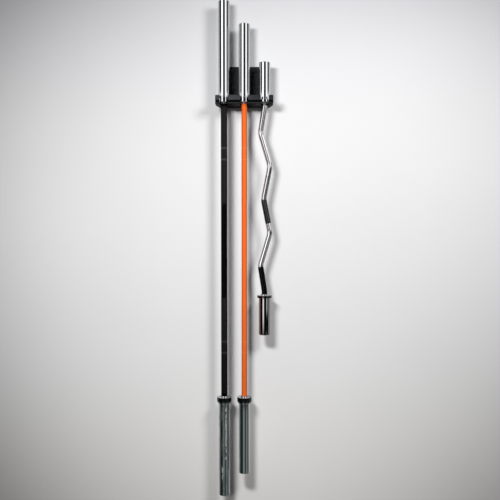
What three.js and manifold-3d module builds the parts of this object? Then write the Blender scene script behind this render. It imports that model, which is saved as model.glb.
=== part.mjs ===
// Wall rack that stores three barbells upright, with the bars hanging in it by their upper collars.
// Millimetres, +Z up. The wall is the plane y = 0 and the rack stands out towards -Y.
// The origin is the middle of the wall plate's back face.

import * as THREE from 'three';
import { mergeVertices } from 'three/addons/utils/BufferGeometryUtils.js';
import Module from 'manifold-3d';

const wasm = await Module();
wasm.setup();

// Gaps between separate pieces, and how far a cut runs past the surface that it opens
const seatGap = 0.3;
const runningGap = 0.3;
const cutOverrun = 3;

// Folded steel bracket: wall plate, shelf and upturned front lip in one sheet
const sheetThickness = 5;
const innerBendRadius = 8;
const bracketHeight = 186;
const plateInset = 16;
const plateCornerRadius = 10;
const shelfEndMargin = 37;
const shelfDepth = 127;
const straightSideLength = 57;
const sideBlendLength = 20;
const taperBlendLength = 12;
const lipHeight = 37;
const lipCornerRadius = 4;

// Slots that the bars hang in, open through the lip
const slotWidth = 35;
const slotGap = 55;
const lipClearance = 5;

// Soft pads that the collars rest on
const padThickness = 3.5;
const padWidth = 70;
const padBackMargin = 36;
const padSlotWidth = 34;
const padCornerRadius = 8;

// Screws and washers that hold the wall plate
const screwSpacingAcross = 96;
const upperScrewHeight = 75;
const lowerScrewHeight = -5;
const screwDiameter = 8;
const screwHeadDiameter = 15;
const screwHeadHeight = 5.5;
const screwHeadChamfer = 0.8;
const washerDiameter = 20;
const washerThickness = 2;
const screwHoleClearance = 0.6;

// Sizes that all three bars share
const sleeveDiameter = 50;
const sleeveWall = 8;
const sleeveChamfer = 2;
const collarDiameter = 64;
const collarChamfer = 1.5;
const hubLength = 4.5;
const shoulderStep = 1.25;
const innerBushingLength = 45;
const outerBushingLength = 40;
const shaftInset = 16;
const ringMargin = 4;
const ringThickness = 2.5;
const ringDepth = 1.5;
const ringStandOut = 2.6;
const ringOpeningAngle = 50;
const capDiameter = 40;
const capThickness = 5;
const capRecess = 0.7;
const capChamfer = 1;

// Straight bars: collar with a narrower band and a groove above it
const straightGripLength = 1310;
const straightCollarLength = 22;
const bandDiameter = 57;
const bandLength = 5.5;
const sleeveGrooveLength = 2.5;
const sleeveGrooveDepth = 1;
const longGripDiameter = 28;
const longEndLength = 445;
const shortGripDiameter = 25;
const shortEndLength = 345;

// Curl bar: thin collar, short sleeves and a zigzag grip that bends in a plane parallel to the wall
const curlGripDiameter = 25;
const curlGripLength = 853;
const curlEndLength = 177.5;
const curlCollarLength = 12;
const curlLead = 18;
const curlOuterGripDrop = 114;
const curlInnerGripDrop = 146;
const curlFirstOffset = -18;
const curlSecondOffset = 25;
const curlMiddleOffset = -4;
const curlBendLength = 16;

// Facets
const roundSegments = 24;
const arcSegments = 3;
const slotSegments = 8;
const screwSegments = 12;
const hexagonSegments = 6;
const bendSteps = 3;
const gripSegments = 8;

// Widths, heights and places that follow
const slotSpacing = slotWidth + slotGap;
const shelfWidth = (slotSpacing + shelfEndMargin) * 2;
const plateWidth = shelfWidth - plateInset * 2;
const plateTop = bracketHeight / 2;
const shelfUnderside = -bracketHeight / 2;
const shelfTop = shelfUnderside + sheetThickness;
const lipTop = shelfUnderside + lipHeight;
const padUnderside = shelfTop + seatGap;
const collarSeat = padUnderside + padThickness + seatGap;
const outerBendRadius = innerBendRadius + sheetThickness;
const sleeveRadius = sleeveDiameter / 2;
const barStandOff = shelfDepth - sheetThickness - lipClearance - collarDiameter / 2;
const boreRadius = sleeveRadius - sleeveWall;

const bars = [
  {
    name: 'left_bar',
    x: -slotSpacing,
    gripDiameter: longGripDiameter,
    gripLength: straightGripLength,
    endLength: longEndLength,
    collarLength: straightCollarLength,
    banded: true,
    bent: false,
    gripColor: 0x1a1a1c,
  },
  {
    name: 'middle_bar',
    x: 0,
    gripDiameter: shortGripDiameter,
    gripLength: straightGripLength,
    endLength: shortEndLength,
    collarLength: straightCollarLength,
    banded: true,
    bent: false,
    gripColor: 0xff6a28,
  },
  {
    name: 'curl_bar',
    x: slotSpacing,
    gripDiameter: curlGripDiameter,
    gripLength: curlGripLength,
    endLength: curlEndLength,
    collarLength: curlCollarLength,
    banded: false,
    bent: true,
    gripColor: 0xb8bcc0,
  },
];

// Finishes
function finish(color, roughness, metalness) {
  return new THREE.MeshStandardMaterial({ color, roughness, metalness });
}

const powderCoat = finish(0x303133, 0.55, 0.2);
const softPlastic = finish(0x1c1c1e, 0.7, 0);
const blackZinc = finish(0x26272a, 0.45, 0.8);
const chrome = finish(0xd6d9dc, 0.12, 1);
const steel = finish(0xa4a8ac, 0.25, 1);
const bronze = finish(0xa9793c, 0.35, 1);
const springSteel = finish(0x4a4c50, 0.4, 1);

// Meshes and solids
function closed(geometry) {
  const bare = geometry.clone();
  bare.deleteAttribute('normal');
  bare.deleteAttribute('uv');
  return mergeVertices(bare);
}

function toSolid(geometry) {
  const merged = closed(geometry);
  const mesh = new wasm.Mesh({
    numProp: 3,
    vertProperties: new Float32Array(merged.attributes.position.array),
    triVerts: new Uint32Array(merged.index.array),
  });
  return new wasm.Manifold(mesh);
}

function toGeometry(solid) {
  const mesh = solid.getMesh();
  const geometry = new THREE.BufferGeometry();
  geometry.setAttribute('position', new THREE.BufferAttribute(mesh.vertProperties, 3));
  geometry.setIndex(new THREE.BufferAttribute(mesh.triVerts, 1));
  geometry.computeVertexNormals();
  return geometry;
}

function namedMesh(name, geometry, material) {
  const mesh = new THREE.Mesh(geometry, material);
  mesh.name = name;
  return mesh;
}

// Prisms: an outline in two axes, run along the third from one place to another
function prism(outline, depth, curveSegments) {
  return new THREE.ExtrudeGeometry(outline, { depth, bevelEnabled: false, curveSegments });
}

function prismAcross(outline, width, curveSegments) {
  const geometry = prism(outline, width, curveSegments);
  const turn = new THREE.Matrix4().makeBasis(
    new THREE.Vector3(0, 1, 0),
    new THREE.Vector3(0, 0, 1),
    new THREE.Vector3(1, 0, 0),
  );
  geometry.applyMatrix4(turn);
  geometry.translate(-width / 2, 0, 0);
  return geometry;
}

function prismUp(outline, from, to, curveSegments) {
  const geometry = prism(outline, to - from, curveSegments);
  geometry.translate(0, 0, from);
  return geometry;
}

function prismFromWall(outline, from, to, curveSegments) {
  const geometry = prism(outline, to - from, curveSegments);
  geometry.rotateX(Math.PI / 2);
  geometry.translate(0, -from, 0);
  return geometry;
}

// Turned pieces: a profile of radius and height pairs, listed outside first from the bottom up
function turned(profile, segments) {
  const points = profile.map(([radius, height]) => new THREE.Vector2(radius, height));
  const geometry = new THREE.LatheGeometry(points, segments);
  geometry.rotateX(Math.PI / 2);
  return geometry;
}

function ringProfile(outside, innerRadius, bottom, top) {
  return [[innerRadius, bottom], ...outside, [innerRadius, top], [innerRadius, bottom]];
}

// A faceted bore that still clears a round of this radius at the middle of each facet
function boreFor(radius, gap, segments) {
  return (radius + gap) / Math.cos(Math.PI / segments);
}

// Bracket
function foldedStrip() {
  const front = -shelfDepth;
  const bendHeight = shelfUnderside + outerBendRadius;
  const strip = new THREE.Shape();
  strip.moveTo(0, plateTop);
  strip.lineTo(-sheetThickness, plateTop);
  strip.lineTo(-sheetThickness, bendHeight);
  strip.absarc(-outerBendRadius, bendHeight, innerBendRadius, 0, -Math.PI / 2, true);
  strip.lineTo(front + outerBendRadius, shelfTop);
  strip.absarc(front + outerBendRadius, bendHeight, innerBendRadius, -Math.PI / 2, -Math.PI, true);
  strip.lineTo(front + sheetThickness, lipTop);
  strip.lineTo(front, lipTop);
  strip.lineTo(front, bendHeight);
  strip.absarc(front + outerBendRadius, bendHeight, outerBendRadius, Math.PI, Math.PI * 1.5, false);
  strip.lineTo(-outerBendRadius, shelfUnderside);
  strip.absarc(-outerBendRadius, bendHeight, outerBendRadius, -Math.PI / 2, 0, false);
  return strip;
}

// Seen from above: wall plate's width at the back, then sides that taper out to the shelf's width
function bracketPlan() {
  const halfPlate = plateWidth / 2;
  const halfShelf = shelfWidth / 2;
  const taperBack = -outerBendRadius;
  const taperFront = straightSideLength - shelfDepth;
  const taper = new THREE.Vector2(halfShelf - halfPlate, taperFront - taperBack);
  const blend = taper.clone().setLength(taperBlendLength);
  const side = taper.clone().setLength(sideBlendLength);
  const plan = new THREE.Shape();
  plan.moveTo(-halfPlate, cutOverrun);
  plan.lineTo(-halfPlate, taperBack + taperBlendLength / 2);
  plan.quadraticCurveTo(-halfPlate, taperBack, -halfPlate - blend.x, taperBack + blend.y);
  plan.lineTo(-halfShelf + side.x, taperFront - side.y);
  plan.quadraticCurveTo(-halfShelf, taperFront, -halfShelf, taperFront - sideBlendLength);
  plan.lineTo(-halfShelf, -shelfDepth - cutOverrun);
  plan.lineTo(halfShelf, -shelfDepth - cutOverrun);
  plan.lineTo(halfShelf, taperFront - sideBlendLength);
  plan.quadraticCurveTo(halfShelf, taperFront, halfShelf - side.x, taperFront - side.y);
  plan.lineTo(halfPlate + blend.x, taperBack + blend.y);
  plan.quadraticCurveTo(halfPlate, taperBack, halfPlate, taperBack + taperBlendLength / 2);
  plan.lineTo(halfPlate, cutOverrun);
  return plan;
}

// Seen from the front: plate with rounded top corners above the wider shelf and lip
function bracketFront() {
  const halfPlate = plateWidth / 2;
  const halfShelf = shelfWidth / 2;
  const below = shelfUnderside - cutOverrun;
  const plateArc = plateTop - plateCornerRadius;
  const lipArc = lipTop - lipCornerRadius;
  const front = new THREE.Shape();
  front.moveTo(-halfShelf, below);
  front.lineTo(halfShelf, below);
  front.absarc(halfShelf - lipCornerRadius, lipArc, lipCornerRadius, 0, Math.PI / 2, false);
  front.lineTo(halfPlate, lipTop);
  front.absarc(halfPlate - plateCornerRadius, plateArc, plateCornerRadius, 0, Math.PI / 2, false);
  front.absarc(plateCornerRadius - halfPlate, plateArc, plateCornerRadius, Math.PI / 2, Math.PI, false);
  front.lineTo(-halfPlate, lipTop);
  front.absarc(lipCornerRadius - halfShelf, lipArc, lipCornerRadius, Math.PI / 2, Math.PI, false);
  return front;
}

// Slot seen from above: a round seat about the bar's axis, open towards the front
function slotPlan(x, width, frontEdge) {
  const half = width / 2;
  const plan = new THREE.Shape();
  plan.moveTo(x - half, frontEdge);
  plan.lineTo(x + half, frontEdge);
  plan.absarc(x, -barStandOff, half, 0, Math.PI, false);
  return plan;
}

// Widening at the top of a slot in the lip, which leaves the lip's corners round
function slotMouth(x) {
  const half = slotWidth / 2;
  const arcHeight = lipTop - lipCornerRadius;
  const mouth = new THREE.Shape();
  mouth.moveTo(x - half, arcHeight);
  mouth.lineTo(x + half, arcHeight);
  mouth.absarc(x + half + lipCornerRadius, arcHeight, lipCornerRadius, Math.PI, Math.PI / 2, true);
  mouth.lineTo(x + half + lipCornerRadius, lipTop + cutOverrun);
  mouth.lineTo(x - half - lipCornerRadius, lipTop + cutOverrun);
  mouth.absarc(x - half - lipCornerRadius, arcHeight, lipCornerRadius, Math.PI / 2, 0, true);
  return mouth;
}

const screwPlaces = [
  { name: 'upper_left', x: -screwSpacingAcross / 2, z: upperScrewHeight },
  { name: 'upper_right', x: screwSpacingAcross / 2, z: upperScrewHeight },
  { name: 'lower_left', x: -screwSpacingAcross / 2, z: lowerScrewHeight },
  { name: 'lower_right', x: screwSpacingAcross / 2, z: lowerScrewHeight },
];
const screwHoleRadius = screwDiameter / 2 + screwHoleClearance;

function bracket() {
  const below = shelfUnderside - cutOverrun;
  const above = plateTop + cutOverrun;
  const reach = shelfDepth + cutOverrun;
  let solid = toSolid(prismAcross(foldedStrip(), shelfWidth, arcSegments))
    .intersect(toSolid(prismUp(bracketPlan(), below, above, arcSegments)))
    .intersect(toSolid(prismFromWall(bracketFront(), -cutOverrun, reach, arcSegments)));
  for (const { x } of bars) {
    const slot = prismUp(slotPlan(x, slotWidth, -reach), below, lipTop + cutOverrun, slotSegments);
    const mouth = prismFromWall(slotMouth(x), shelfDepth - outerBendRadius, reach, arcSegments);
    solid = solid.subtract(toSolid(slot)).subtract(toSolid(mouth));
  }
  for (const { x, z } of screwPlaces) {
    const round = new THREE.Shape();
    round.absarc(x, z, screwHoleRadius, 0, Math.PI * 2, false);
    const hole = prismFromWall(round, -cutOverrun, sheetThickness + cutOverrun, screwSegments / 2);
    solid = solid.subtract(toSolid(hole));
  }
  return namedMesh('rack_bracket', toGeometry(solid), powderCoat);
}

// Seat pads: flat, with the same slot as the shelf but narrower, so that no bar touches the steel
function seatPad(name, x) {
  const half = padWidth / 2;
  const front = -shelfDepth + outerBendRadius;
  const back = -barStandOff + padBackMargin;
  const arc = back - padCornerRadius;
  const padTop = padUnderside + padThickness;
  const outline = new THREE.Shape();
  outline.moveTo(x - half, front);
  outline.lineTo(x + half, front);
  outline.absarc(x + half - padCornerRadius, arc, padCornerRadius, 0, Math.PI / 2, false);
  outline.absarc(x - half + padCornerRadius, arc, padCornerRadius, Math.PI / 2, Math.PI, false);
  const pad = toSolid(prismUp(outline, padUnderside, padTop, arcSegments));
  const slotShape = slotPlan(x, padSlotWidth, front - cutOverrun);
  const slot = prismUp(slotShape, shelfTop - cutOverrun, padTop + cutOverrun, slotSegments);
  return namedMesh(name, toGeometry(pad.subtract(toSolid(slot))), softPlastic);
}

// Screws: hexagon head in front of its washer, shank through the plate and level with its back
function screw(name) {
  const radius = screwHeadDiameter / 2;
  const headBack = sheetThickness + washerThickness + seatGap * 2;
  const headFront = headBack + screwHeadHeight;
  const head = turned([
    [0, headBack],
    [radius, headBack],
    [radius, headFront - screwHeadChamfer],
    [radius - screwHeadChamfer, headFront],
    [0, headFront],
  ], hexagonSegments);
  const shank = turned([
    [0, seatGap],
    [screwDiameter / 2, seatGap],
    [screwDiameter / 2, headBack + screwHeadHeight / 2],
    [0, headBack + screwHeadHeight / 2],
  ], screwSegments);
  const geometry = toGeometry(toSolid(head).add(toSolid(shank)));
  return namedMesh(name, geometry.rotateX(Math.PI / 2), blackZinc);
}

function washer(name) {
  const back = sheetThickness + seatGap;
  const front = back + washerThickness;
  const outside = [[washerDiameter / 2, back], [washerDiameter / 2, front]];
  const geometry = turned(ringProfile(outside, screwHoleRadius, back, front), screwSegments);
  return namedMesh(name, geometry.rotateX(Math.PI / 2), blackZinc);
}

// Heights along one end of a bar, from the collar's face outwards
function endLayout(bar) {
  const gripRadius = bar.gripDiameter / 2;
  const shaftEnd = bar.endLength - shaftInset;
  const ringTop = shaftEnd - ringMargin;
  const ringBottom = ringTop - ringThickness;
  return {
    gripRadius,
    journalRadius: gripRadius - shoulderStep,
    gripEnd: -hubLength - runningGap,
    shaftEnd,
    ringTop,
    ringBottom,
    outerBushingTop: ringBottom - seatGap,
    capSeat: bar.endLength - capRecess - capThickness - seatGap,
  };
}

// Journal: the turned-down end of a shaft that runs inside a sleeve, with the snap ring's groove
function journalProfile(bar) {
  const { journalRadius, shaftEnd, ringTop, ringBottom } = endLayout(bar);
  return [
    [journalRadius, ringBottom - seatGap],
    [journalRadius - ringDepth, ringBottom - seatGap],
    [journalRadius - ringDepth, ringTop + seatGap],
    [journalRadius, ringTop + seatGap],
    [journalRadius, shaftEnd],
  ];
}

function straightShaft(bar) {
  const { gripRadius, journalRadius, gripEnd, shaftEnd } = endLayout(bar);
  const upper = [[gripRadius, gripEnd], [journalRadius, gripEnd], ...journalProfile(bar)];
  const lower = upper.map(([radius, height]) => [radius, -bar.gripLength - height]).reverse();
  return turned([[0, -bar.gripLength - shaftEnd], ...lower, ...upper, [0, shaftEnd]], roundSegments);
}

// A curve through listed points whose steps fall on those points
class ListedPath extends THREE.Curve {
  constructor(points) {
    super();
    this.points = points;
  }

  getPoint(share, target = new THREE.Vector3()) {
    const place = THREE.MathUtils.clamp(share, 0, 1) * (this.points.length - 1);
    const index = Math.min(Math.floor(place), this.points.length - 2);
    return target.lerpVectors(this.points[index], this.points[index + 1], place - index);
  }

  getUtoTmapping(share) {
    return share;
  }
}

// Centreline of the curl bar's grip: straight runs that meet in short round bends
function curlCentreline(bar) {
  const { gripEnd } = endLayout(bar);
  const firstDrop = curlLead + curlOuterGripDrop;
  const secondDrop = firstDrop + curlInnerGripDrop;
  const upperCorners = [
    [0, curlLead],
    [curlFirstOffset, firstDrop],
    [curlSecondOffset, secondDrop],
  ];
  const corners = [
    ...upperCorners,
    [curlMiddleOffset, bar.gripLength / 2],
    ...upperCorners.map(([offset, drop]) => [offset, bar.gripLength - drop]).reverse(),
  ].map(([offset, drop]) => new THREE.Vector3(offset, 0, -drop));
  const start = new THREE.Vector3(0, 0, gripEnd);
  const end = new THREE.Vector3(0, 0, -bar.gripLength - gripEnd);
  const places = [start, ...corners, end];
  const points = [start];
  corners.forEach((corner, index) => {
    const before = places[index].clone().sub(corner);
    const after = places[index + 2].clone().sub(corner);
    const reach = Math.min(curlBendLength, before.length() / 2, after.length() / 2);
    const bend = new THREE.QuadraticBezierCurve3(
      corner.clone().add(before.setLength(reach)),
      corner,
      corner.clone().add(after.setLength(reach)),
    );
    points.push(...bend.getPoints(bendSteps));
  });
  points.push(end);
  return new ListedPath(points);
}

function bentShaft(bar) {
  const { gripRadius, journalRadius, gripEnd, shaftEnd } = endLayout(bar);
  const path = curlCentreline(bar);
  const section = new THREE.Shape();
  section.absarc(0, 0, gripRadius, 0, Math.PI * 2, false);
  const grip = new THREE.ExtrudeGeometry(section, {
    extrudePath: path,
    steps: path.points.length - 1,
    curveSegments: gripSegments,
  });
  const root = gripEnd - cutOverrun;
  const end = turned([
    [0, root],
    [journalRadius, root],
    ...journalProfile(bar),
    [0, shaftEnd],
  ], roundSegments);
  const otherEnd = end.clone().rotateX(Math.PI).translate(0, 0, -bar.gripLength);
  return toGeometry(toSolid(grip).add(toSolid(end)).add(toSolid(otherEnd)));
}

// Sleeve: a tube with a groove above the collar's band and a recess for its cap
function sleeveGeometry(bar) {
  const { capSeat } = endLayout(bar);
  const recessRadius = capDiameter / 2;
  const grooveStart = bar.collarLength + bandLength;
  const grooveEnd = grooveStart + sleeveGrooveLength;
  const groove = [
    [sleeveRadius, grooveStart],
    [sleeveRadius - sleeveGrooveDepth, grooveStart],
    [sleeveRadius - sleeveGrooveDepth, grooveEnd],
    [sleeveRadius, grooveEnd],
  ];
  return turned(ringProfile([
    [sleeveRadius, 0],
    ...(bar.banded ? groove : []),
    [sleeveRadius, bar.endLength - sleeveChamfer],
    [sleeveRadius - sleeveChamfer, bar.endLength],
    [recessRadius, bar.endLength],
    [recessRadius, capSeat],
  ], boreRadius, 0, capSeat), roundSegments);
}

function collarGeometry(bar) {
  const radius = collarDiameter / 2;
  const length = bar.collarLength;
  const band = [[bandDiameter / 2, length], [bandDiameter / 2, length + bandLength]];
  const top = bar.banded ? length + bandLength : length;
  return turned(ringProfile([
    [radius - collarChamfer, 0],
    [radius, collarChamfer],
    [radius, length - collarChamfer],
    [radius - collarChamfer, length],
    ...(bar.banded ? band : []),
  ], sleeveRadius + seatGap, 0, top), roundSegments);
}

function bushingGeometry(bar, bottom, top) {
  const outer = boreRadius - seatGap;
  const inner = boreFor(endLayout(bar).journalRadius, runningGap, roundSegments);
  return turned(ringProfile([[outer, bottom], [outer, top]], inner, bottom, top), roundSegments);
}

function capGeometry(bar) {
  const radius = capDiameter / 2 - seatGap;
  const bottom = endLayout(bar).capSeat + seatGap;
  const top = bottom + capThickness;
  return turned([
    [0, bottom],
    [radius, bottom],
    [radius, top - capChamfer],
    [radius - capChamfer, top],
    [0, top],
  ], roundSegments);
}

function snapRingGeometry(bar) {
  const { journalRadius, ringBottom, ringTop } = endLayout(bar);
  const inner = boreFor(journalRadius - ringDepth, seatGap, roundSegments);
  const half = THREE.MathUtils.degToRad(ringOpeningAngle) / 2;
  const outline = new THREE.Shape();
  outline.absarc(0, 0, journalRadius + ringStandOut, half, Math.PI * 2 - half, false);
  outline.absarc(0, 0, inner, Math.PI * 2 - half, half, true);
  return prismUp(outline, ringBottom, ringTop, roundSegments / 2);
}

// One end of a bar: its own frame starts at the collar's face and points outwards
function barEnd(bar, side) {
  const end = new THREE.Group();
  const { outerBushingTop } = endLayout(bar);
  const innerBushing = bushingGeometry(bar, -hubLength, innerBushingLength);
  const outerBushing = bushingGeometry(bar, outerBushingTop - outerBushingLength, outerBushingTop);
  end.add(
    namedMesh(`${bar.name}_${side}_sleeve`, sleeveGeometry(bar), chrome),
    namedMesh(`${bar.name}_${side}_collar`, collarGeometry(bar), chrome),
    namedMesh(`${bar.name}_${side}_inner_bushing`, innerBushing, steel),
    namedMesh(`${bar.name}_${side}_outer_bushing`, outerBushing, bronze),
    namedMesh(`${bar.name}_${side}_end_cap`, capGeometry(bar), chrome),
    namedMesh(`${bar.name}_${side}_snap_ring`, snapRingGeometry(bar), springSteel),
  );
  return end;
}

function barbell(bar) {
  const group = new THREE.Group();
  const shaft = bar.bent ? bentShaft(bar) : straightShaft(bar);
  group.add(namedMesh(`${bar.name}_shaft`, shaft, finish(bar.gripColor, 0.4, bar.bent ? 1 : 0.3)));
  group.add(barEnd(bar, 'upper'));
  const lowerEnd = barEnd(bar, 'lower');
  lowerEnd.rotation.x = Math.PI;
  lowerEnd.position.z = -bar.gripLength;
  group.add(lowerEnd);
  group.position.set(bar.x, -barStandOff, collarSeat);
  return group;
}

const rack = new THREE.Group();
rack.add(bracket());
for (const { name, x } of bars) {
  rack.add(seatPad(`${name}_seat_pad`, x));
}
for (const { name, x, z } of screwPlaces) {
  const fastener = new THREE.Group();
  fastener.add(screw(`${name}_screw`), washer(`${name}_washer`));
  fastener.position.set(x, 0, z);
  rack.add(fastener);
}
for (const bar of bars) {
  rack.add(barbell(bar));
}

export default rack;
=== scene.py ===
"""Looks for the wall rack with its three barbells.

Lengths are in millimetres until a mesh is finished, and in metres where a comment says so.
"""

import math

import bmesh
import bpy
from mathutils import Matrix, Vector


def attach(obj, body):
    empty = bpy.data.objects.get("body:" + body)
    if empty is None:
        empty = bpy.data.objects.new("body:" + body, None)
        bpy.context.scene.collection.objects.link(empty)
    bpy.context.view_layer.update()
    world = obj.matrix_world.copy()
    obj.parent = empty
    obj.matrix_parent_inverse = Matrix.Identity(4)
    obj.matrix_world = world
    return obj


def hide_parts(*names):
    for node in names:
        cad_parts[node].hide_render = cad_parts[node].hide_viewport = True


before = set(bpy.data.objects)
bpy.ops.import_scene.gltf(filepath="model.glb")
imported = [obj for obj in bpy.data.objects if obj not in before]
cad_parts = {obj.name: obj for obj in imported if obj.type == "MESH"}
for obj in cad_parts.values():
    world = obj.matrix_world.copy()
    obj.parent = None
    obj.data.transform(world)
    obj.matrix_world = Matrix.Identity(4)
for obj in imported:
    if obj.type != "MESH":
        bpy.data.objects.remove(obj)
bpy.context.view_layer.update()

MM = 0.001
TAU = math.tau

# How far a cutting shape runs past what it cuts
OVERRUN = 3.0

# Bracket
SHEET = 5.0
INNER_BEND = 8.0
OUTER_BEND = INNER_BEND + SHEET
BEND_STEPS = 12
SLOT_SPACING = 90.0
SHELF_END_MARGIN = 37.0
HALF_SHELF = SLOT_SPACING + SHELF_END_MARGIN
PLATE_INSET = 16.0
HALF_PLATE = HALF_SHELF - PLATE_INSET
PLATE_TOP = 93.0
PLATE_CORNER = 10.0
SHELF_UNDERSIDE = -93.0
SHELF_TOP = SHELF_UNDERSIDE + SHEET
SHELF_DEPTH = 127.0
STRAIGHT_SIDE = 57.0
SIDE_BLEND = 20.0
TAPER_BLEND = 12.0
LIP_HEIGHT = 37.0
LIP_TOP = SHELF_UNDERSIDE + LIP_HEIGHT
LIP_CORNER = 4.0
SLOT_WIDTH = 35.0
SLOT_STEPS = 32
STAND_OFF = 85.0
EDGE_ROUND = 0.7

# Pads and fasteners
SEAT_GAP = 0.3
PAD_THICKNESS = 3.5
PAD_WIDTH = 70.0
PAD_BEHIND_BAR = 36.0
PAD_BACK = -STAND_OFF + PAD_BEHIND_BAR
PAD_SLOT_WIDTH = 34.0
PAD_CORNER = 8.0
PAD_EDGE_ROUND = 0.6
PAD_UNDERSIDE = SHELF_TOP + SEAT_GAP
COLLAR_SEAT = PAD_UNDERSIDE + PAD_THICKNESS + SEAT_GAP
SCREW_PLACES = {
    "upper_left": (-48.0, 75.0),
    "upper_right": (48.0, 75.0),
    "lower_left": (-48.0, -5.0),
    "lower_right": (48.0, -5.0),
}
SCREW_RADIUS = 4.0
SCREW_POINT_RADIUS = 3.1
THREAD_START = 0.5
THREAD_PITCH = 1.25
THREAD_DEPTH = 0.65
PLAIN_SHANK = 1.6
SHANK_OVERLAP = 1.0
SHANK_STEPS = 48
HOLE_RADIUS = 4.6
HOLE_SIDES = 32
HEAD_RADIUS = 7.5
HEAD_HEIGHT = 5.5
HEAD_EDGE_ROUND = 0.12
HEAD_SHARP_ANGLE = 25.0
# The crown takes the head's corners off: how far inside the flats it starts, and its depth past the corners
CROWN_BACK_CHAMFER = (0.2, 0.7)
CROWN_FRONT_CHAMFER = (0.3, 0.9)
CROWN_MARGIN = 0.4
DISH_RADIUS = 4.2
DISH_FLOOR_RADIUS = 3.4
DISH_DEPTH = 0.35
WASHER_RADIUS = 10.0
WASHER_THICKNESS = 2.0
FASTENER_STEPS = 72

# Bars
SLEEVE_RADIUS = 25.0
SLEEVE_CHAMFER = 2.0
BORE_RADIUS = 17.0
COLLAR_RADIUS = 32.0
HUB_LENGTH = 4.5
SHOULDER_STEP = 1.25
INNER_BUSHING_LENGTH = 45.0
SHAFT_INSET = 16.0
RING_MARGIN = 4.0
RING_THICKNESS = 2.5
RING_DEPTH = 1.5
CAP_RADIUS = 20.0
CAP_THICKNESS = 5.0
CAP_RECESS = 0.7
# A ring groove in the cap's face, by its edges' distances from the rim, and a dimple in its middle
CAP_GROOVE = (2.6, 3.2, 4.2, 4.8)
CAP_GROOVE_DEPTH = 0.5
CAP_FACE_DROP = 0.1
CAP_DIMPLE_RADIUS = 5.0
CAP_DIMPLE_FLOOR_RADIUS = 3.2
CAP_DIMPLE_DEPTH = 1.2
BAND_RADIUS = 28.5
BAND_LENGTH = 5.5
GROOVE_LENGTH = 2.5
GROOVE_DEPTH = 1.0
RUNNING_GAP = 0.3
ROUND_STEPS = 128
TUBE_STEPS = 64
CORNER_STEPS = 4
MERGE_DISTANCE = 0.01
FLAT_ANGLE = 0.2
SHARP_ANGLE = 40.0
ON_AXIS = 1e-6

BARS = {
    "left_bar": dict(x=-SLOT_SPACING, grip=14.0, length=1310.0, end=445.0, collar=22.0, banded=True),
    "middle_bar": dict(x=0.0, grip=12.5, length=1310.0, end=345.0, collar=22.0, banded=True),
    "curl_bar": dict(x=SLOT_SPACING, grip=12.5, length=853.0, end=177.5, collar=12.0, banded=False),
}


# Meshes
def rounded(corners, closed):
    """Profile points, with an arc in place of each corner whose third number gives it a radius."""
    points = []
    count = len(corners)
    for i, corner in enumerate(corners):
        here = Vector(corner[:2])
        radius = corner[2] if len(corner) > 2 else 0.0
        if not radius or (not closed and i in (0, count - 1)):
            points.append(here)
            continue
        before = (Vector(corners[i - 1][:2]) - here).normalized()
        after = (Vector(corners[(i + 1) % count][:2]) - here).normalized()
        angle = before.angle(after)
        reach = radius / math.tan(angle / 2)
        centre = here + (before + after).normalized() * (radius / math.sin(angle / 2))
        start = here + before * reach - centre
        end = here + after * reach - centre
        sweep = start.angle_signed(end)
        for k in range(CORNER_STEPS + 1):
            turn = -sweep * k / CORNER_STEPS
            points.append(centre + Matrix.Rotation(turn, 2) @ start)
    return points


def finished(name, mesh, place=(0, 0, 0), turn=None, sharp=SHARP_ANGLE):
    """An object from a mesh: in place, in metres, and shaded smoothly with its flat faces kept flat."""
    if turn is not None:
        mesh.transform(turn)
    mesh.transform(Matrix.Translation(place))
    mesh.transform(Matrix.Scale(MM, 4))
    body = bmesh.new()
    body.from_mesh(mesh)
    bmesh.ops.recalc_face_normals(body, faces=body.faces)
    body.to_mesh(mesh)
    body.free()
    mesh.shade_smooth()
    mesh.set_sharp_from_angle(angle=math.radians(sharp))
    piece = bpy.data.objects.new(name, mesh)
    bpy.context.scene.collection.objects.link(piece)
    weighted = piece.modifiers.new("even_shading", "WEIGHTED_NORMAL")
    weighted.keep_sharp = True
    weighted.weight = 100
    return piece


def turned_mesh(corners, closed=True, steps=ROUND_STEPS):
    """A profile of radius and height turned about Z. An open one starts and ends on the axis."""
    profile = rounded(corners, closed)
    verts, rings = [], []
    for point in profile:
        if point.x < ON_AXIS:
            rings.append([len(verts)] * steps)
            verts.append((0, 0, point.y))
            continue
        rings.append(range(len(verts), len(verts) + steps))
        for k in range(steps):
            angle = TAU * k / steps
            verts.append((point.x * math.cos(angle), point.x * math.sin(angle), point.y))
    faces, places = [], []
    pairs = list(zip(range(len(profile)), range(1, len(profile))))
    if closed:
        pairs.append((len(profile) - 1, 0))
    for a, b in pairs:
        for k in range(steps):
            after = (k + 1) % steps
            corner = [
                (rings[a][k], k, a),
                (rings[a][after], k + 1, a),
                (rings[b][after], k + 1, b),
                (rings[b][k], k, b),
            ]
            kept = []
            for index, column, row in corner:
                if index not in [c[0] for c in kept]:
                    kept.append((index, column, row))
            faces.append([c[0] for c in kept])
            places += [(c[1] / steps, profile[c[2]].y * MM) for c in kept]
    mesh = bpy.data.meshes.new("turned")
    mesh.from_pydata(verts, [], faces)
    layer = mesh.uv_layers.new(name="UVMap")
    layer.data.foreach_set("uv", [value for place in places for value in place])
    return mesh


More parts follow.
